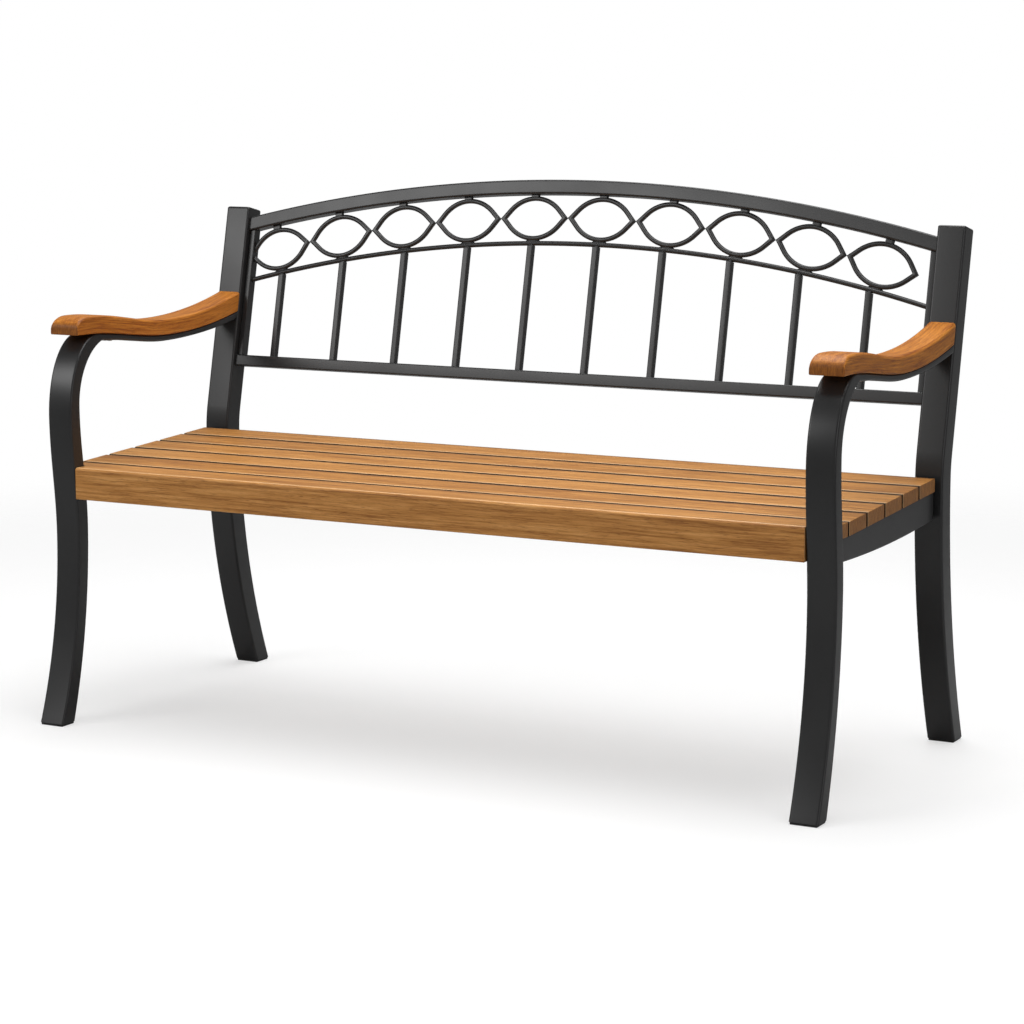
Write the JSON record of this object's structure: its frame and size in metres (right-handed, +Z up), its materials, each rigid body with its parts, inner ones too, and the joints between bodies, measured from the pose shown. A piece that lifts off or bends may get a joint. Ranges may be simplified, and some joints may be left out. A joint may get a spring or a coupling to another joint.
{
  "type": "garden bench",
  "caption": "Garden bench with a bowed steel frame, slatted wooden seat, wooden armrests and an arched back with a row of pointed ovals over upright bars.",
  "frame": {"origin": "on the ground, at the centre of the bench's footprint", "axes": "+X along the bench towards its right-hand end as seen from the front, +Y from the seat edge towards the back, +Z up"},
  "size_m": [1.2772, 0.5736, 0.8173],
  "materials": {
    "frame_paint": "satin powder coat, charcoal grey",
    "seat_wood": "oiled hardwood, satin",
    "arm_wood": "oiled hardwood, satin, a little redder",
    "glide_plastic": "matte black",
    "screw_steel": "zinc-plated screw"
  },
  "bodies": {
    "root": {"arch_rod": "frame_paint", "arm_screw_front_left": "screw_steel", "arm_screw_front_right": "screw_steel", "arm_screw_rear_left": "screw_steel", "arm_screw_rear_right": "screw_steel", "arm_support_left": "frame_paint", "arm_support_right": "frame_paint", "armrest_left": "arm_wood", "armrest_right": "arm_wood", "bottom_rail": "frame_paint", "foot_glide_front_left": "glide_plastic", "foot_glide_front_right": "glide_plastic", "foot_glide_rear_left": "glide_plastic", "foot_glide_rear_right": "glide_plastic", "front_leg_left": "frame_paint", "front_leg_right": "frame_paint", "front_stretcher": "frame_paint", "oval_01": "frame_paint", "oval_02": "frame_paint", "oval_03": "frame_paint", "oval_04": "frame_paint", "oval_05": "frame_paint", "oval_06": "frame_paint", "oval_07": "frame_paint", "oval_08": "frame_paint", "oval_09": "frame_paint", "oval_10": "frame_paint", "post_cap_left": "frame_paint", "post_cap_right": "frame_paint", "rail_tab_left": "frame_paint", "rail_tab_right": "frame_paint", "rear_post_left": "frame_paint", "rear_post_right": "frame_paint", "rear_stretcher": "frame_paint", "seat_brace": "frame_paint", "seat_slat_1": "seat_wood", "seat_slat_2": "seat_wood", "seat_slat_3": "seat_wood", "seat_slat_4": "seat_wood", "seat_slat_5": "seat_wood", "seat_slat_6": "seat_wood", "side_rail_left": "frame_paint", "side_rail_right": "frame_paint", "spindle_01": "frame_paint", "spindle_02": "frame_paint", "spindle_03": "frame_paint", "spindle_04": "frame_paint", "spindle_05": "frame_paint", "spindle_06": "frame_paint", "spindle_07": "frame_paint", "spindle_08": "frame_paint", "spindle_09": "frame_paint", "spindle_10": "frame_paint", "stile_left": "frame_paint", "stile_right": "frame_paint", "top_rail": "frame_paint"}
  },
  "joints": []
}
